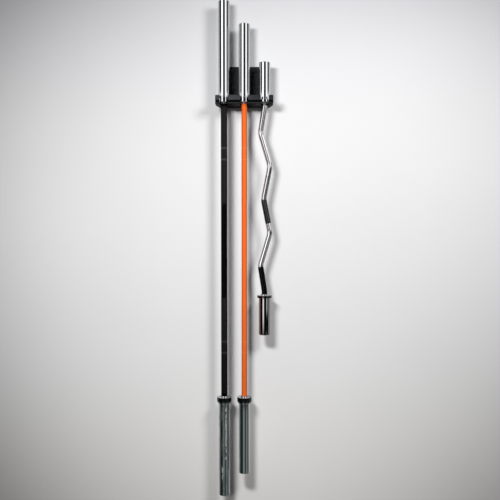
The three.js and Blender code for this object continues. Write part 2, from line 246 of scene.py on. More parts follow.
def prism_mesh(outline, low, high, axis="z"):
    """An outline run along one axis. Its two coordinates are the other two axes, in order."""
    def corner(point, along):
        a, b = point
        return {"x": (along, a, b), "y": (a, along, b), "z": (a, b, along)}[axis]

    count = len(outline)
    verts = [corner(p, low) for p in outline] + [corner(p, high) for p in outline]
    faces = [list(range(count))[::-1], list(range(count, count * 2))]
    for i in range(count):
        after = (i + 1) % count
        faces.append([i, after, count + after, count + i])
    mesh = bpy.data.meshes.new("prism")
    mesh.from_pydata(verts, [], faces)
    body = bmesh.new()
    body.from_mesh(mesh)
    bmesh.ops.recalc_face_normals(body, faces=body.faces)
    body.to_mesh(mesh)
    body.free()
    return mesh


def arc(x, y, radius, start, end, steps=8):
    """Points of an arc, with angles in degrees."""
    return [
        (
            x + radius * math.cos(math.radians(start + (end - start) * k / steps)),
            y + radius * math.sin(math.radians(start + (end - start) * k / steps)),
        )
        for k in range(steps + 1)
    ]


def quarter(start, corner, end, steps=6):
    """Points of a curve that leaves a corner out."""
    points = []
    for k in range(steps + 1):
        t = k / steps
        points.append(tuple(
            start[i] * (1 - t) ** 2 + corner[i] * 2 * t * (1 - t) + end[i] * t * t for i in (0, 1)
        ))
    return points


def combine(first, *steps):
    """Joins and cuts meshes. Each step is an operation and a mesh."""
    base = bpy.data.objects.new("base", first)
    bpy.context.scene.collection.objects.link(base)
    tools = []
    for operation, mesh in steps:
        tool = bpy.data.objects.new("tool", mesh)
        bpy.context.scene.collection.objects.link(tool)
        tools.append(tool)
        modifier = base.modifiers.new("cut", "BOOLEAN")
        modifier.operation = operation
        modifier.solver = "EXACT"
        modifier.object = tool
    bpy.context.view_layer.update()
    graph = bpy.context.evaluated_depsgraph_get()
    result = bpy.data.meshes.new_from_object(base.evaluated_get(graph))
    for extra in [base, *tools]:
        bpy.data.objects.remove(extra)
    return result


def soften(mesh, radius, segments=3, angle=SHARP_ANGLE):
    """Rounds the edges between faces that meet at more than this angle."""
    body = bmesh.new()
    body.from_mesh(mesh)
    bmesh.ops.remove_doubles(body, verts=body.verts, dist=MERGE_DISTANCE)
    bmesh.ops.dissolve_limit(body, angle_limit=math.radians(FLAT_ANGLE), verts=body.verts, edges=body.edges)
    edges = [e for e in body.edges if e.is_manifold and e.calc_face_angle(0) > math.radians(angle)]
    bmesh.ops.bevel(
        body, geom=edges, offset=radius, offset_type="OFFSET", segments=segments,
        profile=0.5, affect="EDGES", clamp_overlap=True,
    )
    body.to_mesh(mesh)
    body.free()
    return mesh


def folded_strip():
    """Side view of the folded sheet: down the plate, along the shelf, up the lip and back outside."""
    front = -SHELF_DEPTH
    bend = SHELF_UNDERSIDE + OUTER_BEND
    return [
        (0.0, PLATE_TOP),
        (-SHEET, PLATE_TOP),
        *arc(-OUTER_BEND, bend, INNER_BEND, 0, -90, BEND_STEPS),
        *arc(front + OUTER_BEND, bend, INNER_BEND, -90, -180, BEND_STEPS),
        (front + SHEET, LIP_TOP),
        (front, LIP_TOP),
        *arc(front + OUTER_BEND, bend, OUTER_BEND, 180, 270, BEND_STEPS),
        *arc(-OUTER_BEND, bend, OUTER_BEND, 270, 360, BEND_STEPS),
    ]


def mirrored(points):
    """An outline from its right half, listed from the back or the bottom up."""
    return list(points) + [(-x, y) for x, y in reversed(points)]


def bracket_plan():
    """The sheet from above: narrow at the plate, then a taper, then the full width."""
    back = -OUTER_BEND
    front = STRAIGHT_SIDE - SHELF_DEPTH
    taper = Vector((HALF_SHELF - HALF_PLATE, front - back))
    blend = taper.normalized() * TAPER_BLEND
    side = taper.normalized() * SIDE_BLEND
    return mirrored([
        (HALF_PLATE, OVERRUN),
        *quarter((HALF_PLATE, back + TAPER_BLEND / 2), (HALF_PLATE, back),
                 (HALF_PLATE + blend.x, back + blend.y)),
        *quarter((HALF_SHELF - side.x, front - side.y), (HALF_SHELF, front),
                 (HALF_SHELF, front - SIDE_BLEND)),
        (HALF_SHELF, -SHELF_DEPTH - OVERRUN),
    ])


def bracket_front():
    """The sheet from the front: the wide lip with the narrower plate above it."""
    return mirrored([
        (HALF_SHELF, SHELF_UNDERSIDE - OVERRUN),
        *arc(HALF_SHELF - LIP_CORNER, LIP_TOP - LIP_CORNER, LIP_CORNER, 0, 90),
        (HALF_PLATE, LIP_TOP),
        *arc(HALF_PLATE - PLATE_CORNER, PLATE_TOP - PLATE_CORNER, PLATE_CORNER, 0, 90),
    ])


def slot_plan(x, width, front):
    """A slot from above, open to the front and round behind the bar."""
    half = width / 2
    return [(x - half, front), (x + half, front), *arc(x, -STAND_OFF, half, 0, 180, SLOT_STEPS)]


def slot_mouth(x):
    """The cut that rounds the lip's corners off beside a slot."""
    half = SLOT_WIDTH / 2
    level = LIP_TOP - LIP_CORNER
    side = half + LIP_CORNER
    return [
        *arc(x + side, level, LIP_CORNER, 180, 90),
        (x + side, LIP_TOP + OVERRUN),
        (x - side, LIP_TOP + OVERRUN),
        *arc(x - side, level, LIP_CORNER, 90, 0),
    ]


def bracket():
    low = SHELF_UNDERSIDE - OVERRUN
    high = PLATE_TOP + OVERRUN
    front = -SHELF_DEPTH - OVERRUN
    steps = [
        ("INTERSECT", prism_mesh(bracket_plan(), low, high)),
        ("INTERSECT", prism_mesh(bracket_front(), front, OVERRUN, "y")),
    ]
    for bar in BARS.values():
        slot = prism_mesh(slot_plan(bar["x"], SLOT_WIDTH, front), low, LIP_TOP + OVERRUN)
        mouth = prism_mesh(slot_mouth(bar["x"]), front, OUTER_BEND - SHELF_DEPTH, "y")
        steps += [("DIFFERENCE", slot), ("DIFFERENCE", mouth)]
    for x, z in SCREW_PLACES.values():
        hole = arc(x, z, HOLE_RADIUS, 0, 360 - 360 / HOLE_SIDES, HOLE_SIDES - 1)
        steps.append(("DIFFERENCE", prism_mesh(hole, -SHEET - OVERRUN, OVERRUN, "y")))
    width = HALF_SHELF + OVERRUN
    mesh = combine(prism_mesh(folded_strip(), -width, width, "x"), *steps)
    return finished("bracket_sheet", soften(mesh, EDGE_ROUND))


def seat_pad(x):
    half = PAD_WIDTH / 2
    front = OUTER_BEND - SHELF_DEPTH
    back = PAD_BACK - PAD_CORNER
    top = PAD_UNDERSIDE + PAD_THICKNESS
    outline = [
        (x - half, front),
        (x + half, front),
        *arc(x + half - PAD_CORNER, back, PAD_CORNER, 0, 90),
        *arc(x - half + PAD_CORNER, back, PAD_CORNER, 90, 180),
    ]
    slot = slot_plan(x, PAD_SLOT_WIDTH, front - OVERRUN)
    cut = prism_mesh(slot, SHELF_TOP - OVERRUN, top + OVERRUN)
    mesh = combine(prism_mesh(outline, PAD_UNDERSIDE, top), ("DIFFERENCE", cut))
    return soften(mesh, PAD_EDGE_ROUND)


# Turned pieces whose axis goes into the wall
INTO_VIEW = Matrix.Rotation(math.pi / 2, 4, "X")


def screw_mesh():
    """A hexagon screw along Z, from the plate's back to its head."""
    head_back = SHEET + WASHER_THICKNESS + SEAT_GAP * 2
    head_front = head_back + HEAD_HEIGHT
    flat = HEAD_RADIUS * math.cos(math.pi / 6)
    hexagon = arc(0, 0, HEAD_RADIUS, 0, 300, 5)
    head = prism_mesh(hexagon, head_back, head_front)
    back_inset, back_rise = CROWN_BACK_CHAMFER
    front_inset, front_drop = CROWN_FRONT_CHAMFER
    crown = turned_mesh([
        (0, head_back),
        (flat - back_inset, head_back),
        (HEAD_RADIUS + CROWN_MARGIN, head_back + back_rise),
        (HEAD_RADIUS + CROWN_MARGIN, head_front - front_drop),
        (flat - front_inset, head_front, 0.3),
        (DISH_RADIUS, head_front, 0.2),
        (DISH_FLOOR_RADIUS, head_front - DISH_DEPTH, 0.2),
        (0, head_front - DISH_DEPTH),
    ], closed=False, steps=FASTENER_STEPS)
    head = soften(combine(head, ("INTERSECT", crown)), HEAD_EDGE_ROUND, 2, HEAD_SHARP_ANGLE)
    profile = [(0, SEAT_GAP), (SCREW_POINT_RADIUS, SEAT_GAP)]
    height = SEAT_GAP + THREAD_START
    while height < head_back - PLAIN_SHANK:
        profile += [(SCREW_RADIUS - THREAD_DEPTH, height), (SCREW_RADIUS, height + THREAD_PITCH / 2)]
        height += THREAD_PITCH
    shank_end = head_back + SHANK_OVERLAP
    profile += [(SCREW_RADIUS, height), (SCREW_RADIUS, shank_end), (0, shank_end)]
    shank = turned_mesh(profile, closed=False, steps=SHANK_STEPS)
    return combine(head, ("UNION", shank))


def washer_mesh():
    back = SHEET + SEAT_GAP
    front = back + WASHER_THICKNESS
    return turned_mesh([
        (HOLE_RADIUS, back, 0.15), (WASHER_RADIUS, back, 0.2), (WASHER_RADIUS, front, 0.45),
        (HOLE_RADIUS, front, 0.3),
    ], steps=FASTENER_STEPS)


# Bars: heights along one end are measured from the collar's face outwards
def layout(bar):
    """The shaft's radius inside an end, and the heights that its pieces share there."""
    shaft_end = bar["end"] - SHAFT_INSET
    ring_top = shaft_end - RING_MARGIN
    return dict(
        journal=bar["grip"] - SHOULDER_STEP,
        grip_end=-HUB_LENGTH - RUNNING_GAP,
        shaft_end=shaft_end,
        ring_top=ring_top + SEAT_GAP,
        ring_bottom=ring_top - RING_THICKNESS - SEAT_GAP,
        cap_seat=bar["end"] - CAP_RECESS - CAP_THICKNESS - SEAT_GAP,
    )


def journal(bar):
    """Profile of the shaft inside an end, with the snap ring's groove."""
    at = layout(bar)
    groove = at["journal"] - RING_DEPTH
    return [
        (at["journal"], at["ring_bottom"], 0.1), (groove, at["ring_bottom"], 0.1),
        (groove, at["ring_top"], 0.1), (at["journal"], at["ring_top"], 0.1),
        (at["journal"], at["shaft_end"], 0.8), (0, at["shaft_end"]),
    ]


# Distances from the middle of a straight grip: the knurl's start, its two ring marks and its end
KNURL_STARTS = 210.0
MARKS = ((401.0, 409.0), (451.0, 459.0))
KNURL_ENDS = 638.0
# How much less radius the smooth middle and the ring marks have, and half the length of a step down to them
RELIEF = 0.3
HALF_STEP = 0.5


def straight_shaft(bar):
    at = layout(bar)
    middle = -bar["length"] / 2
    full, low = bar["grip"], bar["grip"] - RELIEF
    half = [(low, KNURL_STARTS - HALF_STEP * 2), (full, KNURL_STARTS + HALF_STEP)]
    for start, stop in MARKS:
        half += [(full, start - HALF_STEP), (low, start + HALF_STEP)]
        half += [(low, stop - HALF_STEP), (full, stop + HALF_STEP)]
    half += [(full, at["grip_end"] - middle, 0.6), (at["journal"], at["grip_end"] - middle)]
    half += [(r, z - middle, *f) for r, z, *f in journal(bar)]
    upper = [(r, z + middle, *f) for r, z, *f in half]
    lower = [(r, -z + middle, *f) for r, z, *f in reversed(half)]
    return turned_mesh(lower + upper, closed=False)


# The curl bar's bends: place across and distance below the upper collar, and the place of the middle one
CURL_LEAD = 18.0
CURL_CORNERS = ((0.0, CURL_LEAD), (-18.0, CURL_LEAD + 114.0), (25.0, CURL_LEAD + 260.0))
CURL_MIDDLE = -4.0
CURL_BEND = 16.0
CURL_BEND_STEPS = 12
CURL_RING_SPACING = 12.0
# Keeps an end's closing face just clear of the bent grip's
FACE_GAP = 0.01


def curl_path(bar):
    """Points along the bent grip, from its upper end down: across and down."""
    length = bar["length"]
    start = layout(bar)["grip_end"]
    corners = [(x, -drop) for x, drop in CURL_CORNERS]
    corners += [(CURL_MIDDLE, -length / 2)]
    corners += [(x, drop - length) for x, drop in reversed(CURL_CORNERS)]
    places = [Vector(p) for p in [(0, start), *corners, (0, -length - start)]]
    points = [places[0]]
    for before, here, after in zip(places, places[1:], places[2:]):
        first, second = before - here, after - here
        reach = min(CURL_BEND, first.length / 2, second.length / 2)
        start_bend = here + first.normalized() * reach
        end_bend = here + second.normalized() * reach
        points += [Vector(p) for p in quarter(start_bend, here, end_bend, CURL_BEND_STEPS)]
    points.append(places[-1])
    dense = [points[0]]
    for a, b in zip(points, points[1:]):
        cuts = max(1, round((b - a).length / CURL_RING_SPACING))
        dense += [a.lerp(b, k / cuts) for k in range(1, cuts + 1)]
    return dense


def tube_mesh(path, radius):
    """A round tube that follows a path in the X-Z plane, closed at both ends."""
    verts, faces, places = [], [], []
    steps = TUBE_STEPS
    travelled = [0.0]
    for a, b in zip(path, path[1:]):
        travelled.append(travelled[-1] + (b - a).length)
    last = len(path) - 1
    for i, point in enumerate(path):
        along = (path[min(i + 1, last)] - path[max(i - 1, 0)]).normalized()
        across = Vector((along.y, -along.x))
        for k in range(steps):
            side = -radius * math.cos(TAU * k / steps)
            depth = -radius * math.sin(TAU * k / steps)
            verts.append((point.x + across.x * side, depth, point.y + across.y * side))
    for i in range(last):
        for k in range(steps):
            after = (k + 1) % steps
            this_ring, next_ring = i * steps, (i + 1) * steps
            faces.append([this_ring + k, this_ring + after, next_ring + after, next_ring + k])
            for column, row in ((k, i), (k + 1, i), (k + 1, i + 1), (k, i + 1)):
                places.append((column / steps, -travelled[row] * MM))
    for i in (0, last):
        faces.append([i * steps + k for k in range(steps)])
        places += [(0, -travelled[i] * MM)] * steps
    mesh = bpy.data.meshes.new("tube")
    mesh.from_pydata(verts, [], faces)
    layer = mesh.uv_layers.new(name="UVMap")
    layer.data.foreach_set("uv", [value for place in places for value in place])
    return mesh


def joined(name, meshes):
    """One mesh from several that don't need to be cut."""
    body = bmesh.new()
    for mesh in meshes:
        body.from_mesh(mesh)
    result = bpy.data.meshes.new(name)
    body.to_mesh(result)
    body.free()
    return result


def curl_shaft(bar):
    at = layout(bar)
    grip = tube_mesh(curl_path(bar), bar["grip"])
    start = at["grip_end"] + FACE_GAP
    end = turned_mesh([(0, start), (at["journal"], start), *journal(bar)], closed=False)
    other = end.copy()
    other.transform(Matrix.Translation((0, 0, -bar["length"])) @ Matrix.Rotation(math.pi, 4, "X"))
    return joined("curl_shaft", [grip, end, other])


def sleeve_mesh(bar):
    at = layout(bar)
    start = bar["collar"] + BAND_LENGTH
    stop = start + GROOVE_LENGTH
    floor = SLEEVE_RADIUS - GROOVE_DEPTH
    groove = [
        (SLEEVE_RADIUS, start, 0.3), (floor, start, 0.4), (floor, stop, 0.4), (SLEEVE_RADIUS, stop, 0.3),
    ]
    return turned_mesh([
        (BORE_RADIUS, 0, 0.5), (SLEEVE_RADIUS, 0, 0.8),
        *(groove if bar["banded"] else []),
        (SLEEVE_RADIUS, bar["end"] - SLEEVE_CHAMFER, 1.4), (SLEEVE_RADIUS - SLEEVE_CHAMFER, bar["end"], 0.8),
        (CAP_RADIUS, bar["end"], 0.3), (CAP_RADIUS, at["cap_seat"], 0.2), (BORE_RADIUS, at["cap_seat"], 0.3),
    ])


def collar_mesh(bar):
    length = bar["collar"]
    inner = SLEEVE_RADIUS + SEAT_GAP
    band = [(BAND_RADIUS, length, 0.6), (BAND_RADIUS, length + BAND_LENGTH, 0.7)]
    top = length + (BAND_LENGTH if bar["banded"] else 0)
    return turned_mesh([
        (inner, 0, 0.3), (COLLAR_RADIUS, 0, 1.5), (COLLAR_RADIUS, length, 1.5),
        *(band if bar["banded"] else []),
        (inner, top, 0.3),
    ])


def bushing_mesh(bar):
    outer = BORE_RADIUS - SEAT_GAP
    inner = layout(bar)["journal"] + RUNNING_GAP
    return turned_mesh([
        (inner, -HUB_LENGTH, 0.5), (outer, -HUB_LENGTH, 0.9), (outer, INNER_BUSHING_LENGTH, 0.4),
        (inner, INNER_BUSHING_LENGTH, 0.4),
    ])


def cap_mesh(bar):
    radius = CAP_RADIUS - SEAT_GAP
    bottom = layout(bar)["cap_seat"] + SEAT_GAP
    top = bottom + CAP_THICKNESS
    groove = [radius - inset for inset in CAP_GROOVE]
    groove_floor = top - CAP_GROOVE_DEPTH
    dimple_floor = top - CAP_DIMPLE_DEPTH
    return turned_mesh([
        (0, bottom), (radius, bottom, 0.3), (radius, top, 0.9),
        (groove[0], top, 0.2), (groove[1], groove_floor, 0.2),
        (groove[2], groove_floor, 0.2), (groove[3], top, 0.3),
        (CAP_DIMPLE_RADIUS, top - CAP_FACE_DROP, 0.4),
        (CAP_DIMPLE_FLOOR_RADIUS, dimple_floor, 0.4), (0, dimple_floor),
    ], closed=False)


# Materials
class Nodes:
    """Short calls for the nodes of one tree."""

    def __init__(self, tree):
        self.tree = tree
        self.tree.nodes.clear()

    def link(self, source, target):
        self.tree.links.new(source, target)

    def node(self, kind, inputs=(), **settings):
        made = self.tree.nodes.new(kind)
        for key, value in settings.items():
            setattr(made, key, value)
        for key, value in dict(inputs).items():
            socket = made.inputs[key]
            if isinstance(value, bpy.types.NodeSocket):
                self.link(value, socket)
            else:
                socket.default_value = value
        return made

    def math(self, operation, *values):
        made = self.node("ShaderNodeMath", operation=operation)
        for socket, value in zip(made.inputs, values):
            if isinstance(value, bpy.types.NodeSocket):
                self.link(value, socket)
            else:
                socket.default_value = value
        return made.outputs[0]

    def noise(self, scale, detail, stretch=(1, 1, 1), roughness=0.5):
        coordinate = self.node("ShaderNodeTexCoord").outputs["Object"]
        place = self.node("ShaderNodeMapping", {"Vector": coordinate, "Scale": stretch}).outputs[0]
        return self.node("ShaderNodeTexNoise", {
            "Vector": place, "Scale": scale, "Detail": detail, "Roughness": roughness,
        }).outputs["Fac"]

    def ramp(self, value, *stops):
        """Colours at places from 0 to 1."""
        made = self.node("ShaderNodeValToRGB", {"Fac": value})
        elements = made.color_ramp.elements
        while len(elements) < len(stops):
            elements.new(0.5)
        for element, (place, colour) in zip(elements, stops):
            element.position = place
            element.color = (*colour, 1)
        return made.outputs["Color"]

    def mix(self, share, first, second):
        made = self.node("ShaderNodeMix", data_type="RGBA")
        for index, value in ((0, share), (6, first), (7, second)):
            socket = made.inputs[index]
            if isinstance(value, bpy.types.NodeSocket):
                self.link(value, socket)
            else:
                socket.default_value = value if index == 0 else (*value, 1)
        return made.outputs[2]

    def range(self, value, low, high, to_low=0.0, to_high=1.0, smooth=True):
        return self.node("ShaderNodeMapRange", {
            "Value": value, "From Min": low, "From Max": high, "To Min": to_low, "To Max": to_high,
        }, interpolation_type="SMOOTHSTEP" if smooth else "LINEAR").outputs[0]

    def axes(self, source="Object"):
        coordinate = self.node("ShaderNodeTexCoord").outputs[source]
        return self.node("ShaderNodeSeparateXYZ", {0: coordinate}).outputs

    def facing(self):
        """Which way the surface faces, by axis, from -1 to 1."""
        normal = self.node("ShaderNodeNewGeometry").outputs["Normal"]
        return self.node("ShaderNodeSeparateXYZ", {0: normal}).outputs


class Surface(Nodes):
    """A material on the principled shader."""

    def __init__(self, name):
        self.material = bpy.data.materials.new(name)
        self.material.use_nodes = True
        super().__init__(self.material.node_tree)
        self.output = self.tree.nodes.new("ShaderNodeOutputMaterial")
        self.shader = self.tree.nodes.new("ShaderNodeBsdfPrincipled")
        self.link(self.shader.outputs[0], self.output.inputs["Surface"])
        self.normal = None

    def set(self, **values):
        for key, value in values.items():
            name = key.replace("_", " ")
            socket = next(s for s in self.shader.inputs if s.name.lower() == name)
            if isinstance(value, bpy.types.NodeSocket):
                self.link(value, socket)
            else:
                socket.default_value = value
        return self

    def bump(self, height, distance, strength):
        inputs = {"Height": height, "Distance": distance, "Strength": strength}
        if self.normal is not None:
            inputs["Normal"] = self.normal
        self.normal = self.node("ShaderNodeBump", inputs).outputs[0]
        self.set(normal=self.normal)
        return self


# The bracket's paint by place, in metres: each pair is where a change starts and where it is complete.
# Painted shade darkens the paint everywhere but on the plate and the lip's face. The lip's face gets painted
# light, strongest towards its left end, and the lip's lower bend gets a painted highlight.
LIP_FACE_Y = (-0.110, -0.116)
LIP_FACE_Z = (-0.0785, -0.0765)
LIP_BEND_Y = (-0.110, -0.114)
LIP_LIGHT_FADE_X = (-0.06, 0.13)
PLATE_Y = (-0.03, -0.01)
PAINT_IN_SHADE = (0.0025, 0.0026, 0.003)
PAINT_ON_PLATE = (0.032, 0.0335, 0.038)
PAINT_BEND_HIGHLIGHT = (0.06, 0.06, 0.064)
LIP_LIGHT_COLOUR = (0.068, 0.069, 0.077)


def powder_coat():
    """Dark satin paint, paler on the plate, with painted light on the lip's face, a painted highlight along
    the lip's lower bend and painted shade everywhere else.
    """
    s = Surface("powder_coat")
    cloud = s.noise(38, 3)
    speck = s.noise(900, 1)
    axes = s.axes()
    facing = s.facing()
    front = s.math("MULTIPLY", s.range(axes["Y"], *LIP_FACE_Y), s.range(facing["Y"], -0.98, -0.997))
    front = s.math("MULTIPLY", front, s.range(axes["Z"], *LIP_FACE_Z))
    # Painted light on the lip's face, mottled at random and weaker towards its right end
    lip_light = s.math("MULTIPLY", front, s.range(cloud, 0.2, 0.8, 0.8, 1.0))
    lip_light = s.math("MULTIPLY", lip_light, s.range(axes["X"], *LIP_LIGHT_FADE_X, 1.0, 0.45))
    # Painted highlight along the lip's lower bend, where it turns from the face to the underside
    slanted = s.math("MULTIPLY", s.range(facing["Z"], -0.45, -0.7), s.range(facing["Z"], -0.97, -0.9))
    bend_highlight = s.math("MULTIPLY", slanted, s.range(axes["Y"], *LIP_BEND_Y))
    plate = s.math("MULTIPLY", s.range(axes["Y"], *PLATE_Y), s.range(facing["Y"], -0.93, -0.99))
    base = s.mix(plate, PAINT_IN_SHADE, PAINT_ON_PLATE)
    base = s.mix(bend_highlight, base, PAINT_BEND_HIGHLIGHT)
    base = s.mix(lip_light, base, LIP_LIGHT_COLOUR)
    s.set(
        base_color=base,
        roughness=s.range(cloud, 0.25, 0.75, 0.3, 0.42),
        specular_ior_level=0.02,
    )
    s.bump(speck, 0.00009, 0.5)
    return s.material


def soft_plastic():
    s = Surface("soft_plastic")
    s.set(
        base_color=s.ramp(s.noise(60, 3), (0.3, (0.012, 0.012, 0.013)), (0.7, (0.024, 0.024, 0.025))),
        roughness=s.range(s.noise(300, 2), 0.3, 0.7, 0.45, 0.62),
    )
    return s.bump(s.noise(1500, 2), 0.00006, 0.6).material


def dark_metal(name, low, high, roughness):
    s = Surface(name)
    s.set(
        base_color=s.ramp(s.noise(220, 3), (0.3, low), (0.7, high)),
        metallic=0.9,
        roughness=s.range(s.noise(500, 3), 0.3, 0.7, roughness - 0.06, roughness + 0.08),
    )
    return s.bump(s.noise(2600, 2), 0.00003, 0.5).material


# Pale, less metallic streaks on the front of the long bar's lower sleeve: place across it, lowest and highest
# point
PALE_STREAKS = ((8.0, -1670.0, -1440.0), (-8.0, -1765.0, -1700.0))
# How far a mark's ends fade out, and its half width where it has faded out and where it is full
STREAK_FADE = 8.0
STREAK_HALF_WIDTHS = (3.6, 1.0)
# Where a mark starts and is full from the sleeve's sides to its front, in metres
STREAK_FRONT_Y = (-0.098, -0.102)


def pale_streaks(s):
    """1 in the broken pale streaks on the front of the long bar's lower sleeve."""
    axes = s.axes()
    blotches = s.range(s.noise(1.0, 2, (150, 150, 55)), 0.42, 0.55)
    front = s.math("MULTIPLY", blotches, s.range(axes["Y"], *STREAK_FRONT_Y))
    total = 0.0
    for across, low, high in PALE_STREAKS:
        away = s.math("ABSOLUTE", s.math("SUBTRACT", axes["X"], (across - SLOT_SPACING) * MM))
        above = s.range(axes["Z"], (low - STREAK_FADE) * MM, low * MM)
        below = s.range(axes["Z"], (high + STREAK_FADE) * MM, high * MM)
        length = s.math("MULTIPLY", above, below)
        width = s.range(away, *(half * MM for half in STREAK_HALF_WIDTHS))
        total = s.math("MAXIMUM", total, s.math("MULTIPLY", width, length))
    return s.math("MULTIPLY", front, total)


# Half of the height over which a collar's colour changes to its narrow band's
BAND_BLEND = 0.3


def bright_metal(name, colour, roughness, streaks, mottle=0.0, rim=1.0, top=None, band=None):
    """Chrome or ground steel, with fine turning lines round it and worn streaks along it.

    mottle makes it patchy and adds the pale marks, rim is the strength of its reflection at grazing angles,
    top is the colour of faces that look up on a copy darkened by painted shade, and band the colour of a
    lower collar's narrow band, painted shade too.
    """
    s = Surface(name)
    along = s.noise(1.0, 4, (420, 420, 9), 0.6)
    around = s.noise(1.0, 2, (3, 3, 2400))
    patch = s.noise(1.0, 4, (36, 36, 16), 0.65)
    rough = s.range(along, 0.35, 0.75, roughness, roughness + streaks)
    if mottle:
        rough = s.math("ADD", rough, s.range(patch, 0.45, 0.62, 0.0, mottle))
    dull = tuple(c * (0.9 if not mottle else 0.62) for c in colour)
    share = s.range(patch, 0.35, 0.7) if mottle else s.range(along, 0.3, 0.8)
    base = s.mix(share, colour, dull)
    edge = (rim, rim, rim, 1.0)
    if top:
        upward = s.range(s.facing()["Z"], 0.5, 0.9)
        base = s.mix(upward, base, top)
        edge = s.mix(upward, (rim, rim, rim), (1.0, 1.0, 1.0))
    if band:
        start = COLLAR_SEAT - BARS["left_bar"]["length"] - BARS["left_bar"]["collar"]
        in_band = s.range(s.axes()["Z"], (start + BAND_BLEND) * MM, (start - BAND_BLEND) * MM)
        base = s.mix(in_band, base, band)
    metallic = s.range(pale_streaks(s), 0, 1, 1.0, 0.35) if mottle else 1.0
    s.set(base_color=base, metallic=metallic, roughness=rough, specular_tint=edge)
    return s.bump(around, 0.00001, 0.35).bump(along, 0.000012, 0.4).material


# A diamond's width round the bar and its length along it
DIAMOND_WIDTH = 1.7
DIAMOND_LENGTH = 2.9


def knurl_height(s, bar):
    """Diamond knurl: two sets of helical grooves that cross.

    The map runs once round the bar and along it in metres.
    """
    axes = s.axes("UV")
    around = s.math("MULTIPLY", axes["X"], float(round(TAU * bar["grip"] / DIAMOND_WIDTH)))
    along = s.math("DIVIDE", axes["Y"], DIAMOND_LENGTH * MM)
    sides = [
        s.math("PINGPONG", s.math(operation, around, along), 0.5) for operation in ("ADD", "SUBTRACT")
    ]
    return s.math("MULTIPLY", s.math("MINIMUM", *sides), 2.0)


# Knurled stretches of a grip, by distance from its middle, and how far an end of one blends each way
STRAIGHT_KNURLS = ((KNURL_STARTS, MARKS[0][0]), (MARKS[0][1], MARKS[1][0]), (MARKS[1][1], KNURL_ENDS))
CURL_KNURLS = ((0.0, 108.0), (308.0, 600.0))
STRETCH_BLEND = 1.2


def stretches(s, stops, middle):
    """1 in the given stretches of a grip and 0 between them. The middle's place on the map is in metres."""
    axes = s.axes("UV")
    away = s.math("ABSOLUTE", s.math("SUBTRACT", axes["Y"], middle))
    total = None
    for start, end in stops:
        begun = s.range(away, (start - STRETCH_BLEND) * MM, (start + STRETCH_BLEND) * MM)
        ended = s.range(away, (end + STRETCH_BLEND) * MM, (end - STRETCH_BLEND) * MM)
        inside = s.math("MULTIPLY", begun, ended)
        total = inside if total is None else s.math("MAXIMUM", total, inside)
    return total


# Heights between which a coated grip's colour goes from its lower to its upper strength, in metres: the
# darker colour lower down is painted shade
GRIP_SHADE_Z = (-1.4, -0.7)


def coated_grip(name, bar, smooth, rough, mark, roughness, specular, strength):
    """A coated straight grip, knurled but for its middle and its ring marks.

    smooth, rough and mark are the colours of its smooth stretches, knurls and ring marks. roughness is given
    for smooth and knurled stretches, and strength is the colour's factor at the lower and at the upper end;
    the lower factor is painted shade.
    """
    s = Surface(name)
    middle = -bar["length"] / 2 * MM
    knurl = stretches(s, STRAIGHT_KNURLS, middle)
    marks = stretches(s, MARKS, middle)
    diamonds = knurl_height(s, bar)
    worn = s.math("MULTIPLY", s.range(diamonds, 0.55, 1.0), s.range(s.noise(45, 3), 0.3, 0.8))
    crest = tuple(min(1.0, c * 1.35 + 0.004) for c in rough)
    colour = s.mix(marks, s.mix(knurl, smooth, s.mix(worn, rough, crest)), mark)
    # Painted shade: the grip's colour darkens towards its lower end
    fade = s.range(s.axes()["Z"], *GRIP_SHADE_Z, *strength)
    uneven = s.range(s.noise(90, 3), 0.3, 0.7, -0.04, 0.05)
    s.set(
        base_color=s.node("ShaderNodeVectorMath", {0: colour, 1: fade}, operation="MULTIPLY").outputs[0],
        roughness=s.math("ADD", s.range(knurl, 0, 1, *roughness), uneven),
        specular_ior_level=specular,
    )
    s.bump(s.math("MULTIPLY", diamonds, knurl), 0.0003, 0.8)
    return s.bump(s.noise(700, 2), 0.00002, 0.5).material


# How far the painted shade of the curl bar's lower knurls blends at its middle, and where below the middle it
# deepens
SHADE_BLEND = 4.0
SHADE_DEEPENS = (150.0, 250.0)


def chrome_grip(bar):
    """The curl bar's chrome: knurled in its middle and towards both ends, with painted shade on the lower
    knurls.
    """
    s = Surface("chrome_grip")
    path = curl_path(bar)
    middle = -sum((b - a).length for a, b in zip(path, path[1:])) / 2 * MM
    knurl = stretches(s, CURL_KNURLS, middle)
    along = s.axes("UV")["Y"]
    # Painted shade: the knurls below the middle get a dark colour and a weak reflection, darkest towards the
    # lower end
    lower_half = s.range(along, middle + SHADE_BLEND * MM, middle - SHADE_BLEND * MM)
    below = s.math("MULTIPLY", knurl, lower_half)
    diamonds = knurl_height(s, bar)
    # Darker chrome in the knurl's grooves
    darker_grooves = s.math("MULTIPLY", knurl, s.range(diamonds, 1.0, 0.2))
    lowest = s.range(along, *(middle - distance * MM for distance in SHADE_DEEPENS))
    dark = s.mix(lowest, (0.07, 0.07, 0.072), (0.02, 0.02, 0.021))
    s.set(
        base_color=s.mix(below, s.mix(darker_grooves, (0.78, 0.79, 0.8), (0.6, 0.6, 0.61)), dark),
        metallic=1.0,
        roughness=s.math("SUBTRACT", s.range(knurl, 0, 1, 0.13, 0.2), s.math("MULTIPLY", below, 0.04)),
        specular_tint=s.mix(below, (1.0, 1.0, 1.0), (0.1, 0.1, 0.1)),
    )
    return s.bump(s.math("MULTIPLY", diamonds, knurl), 0.00004, 0.5).material


# Camera, stage and lights: places are in metres, lens and sensor in millimetres, the tilt in degrees
CAMERA_PLACE = (0.0253, -3.094, -0.630)
CAMERA_TILT = 88.0
CAMERA_LENS = 48.6
CAMERA_SENSOR = 36.0
CAMERA_CLIP = 0.01

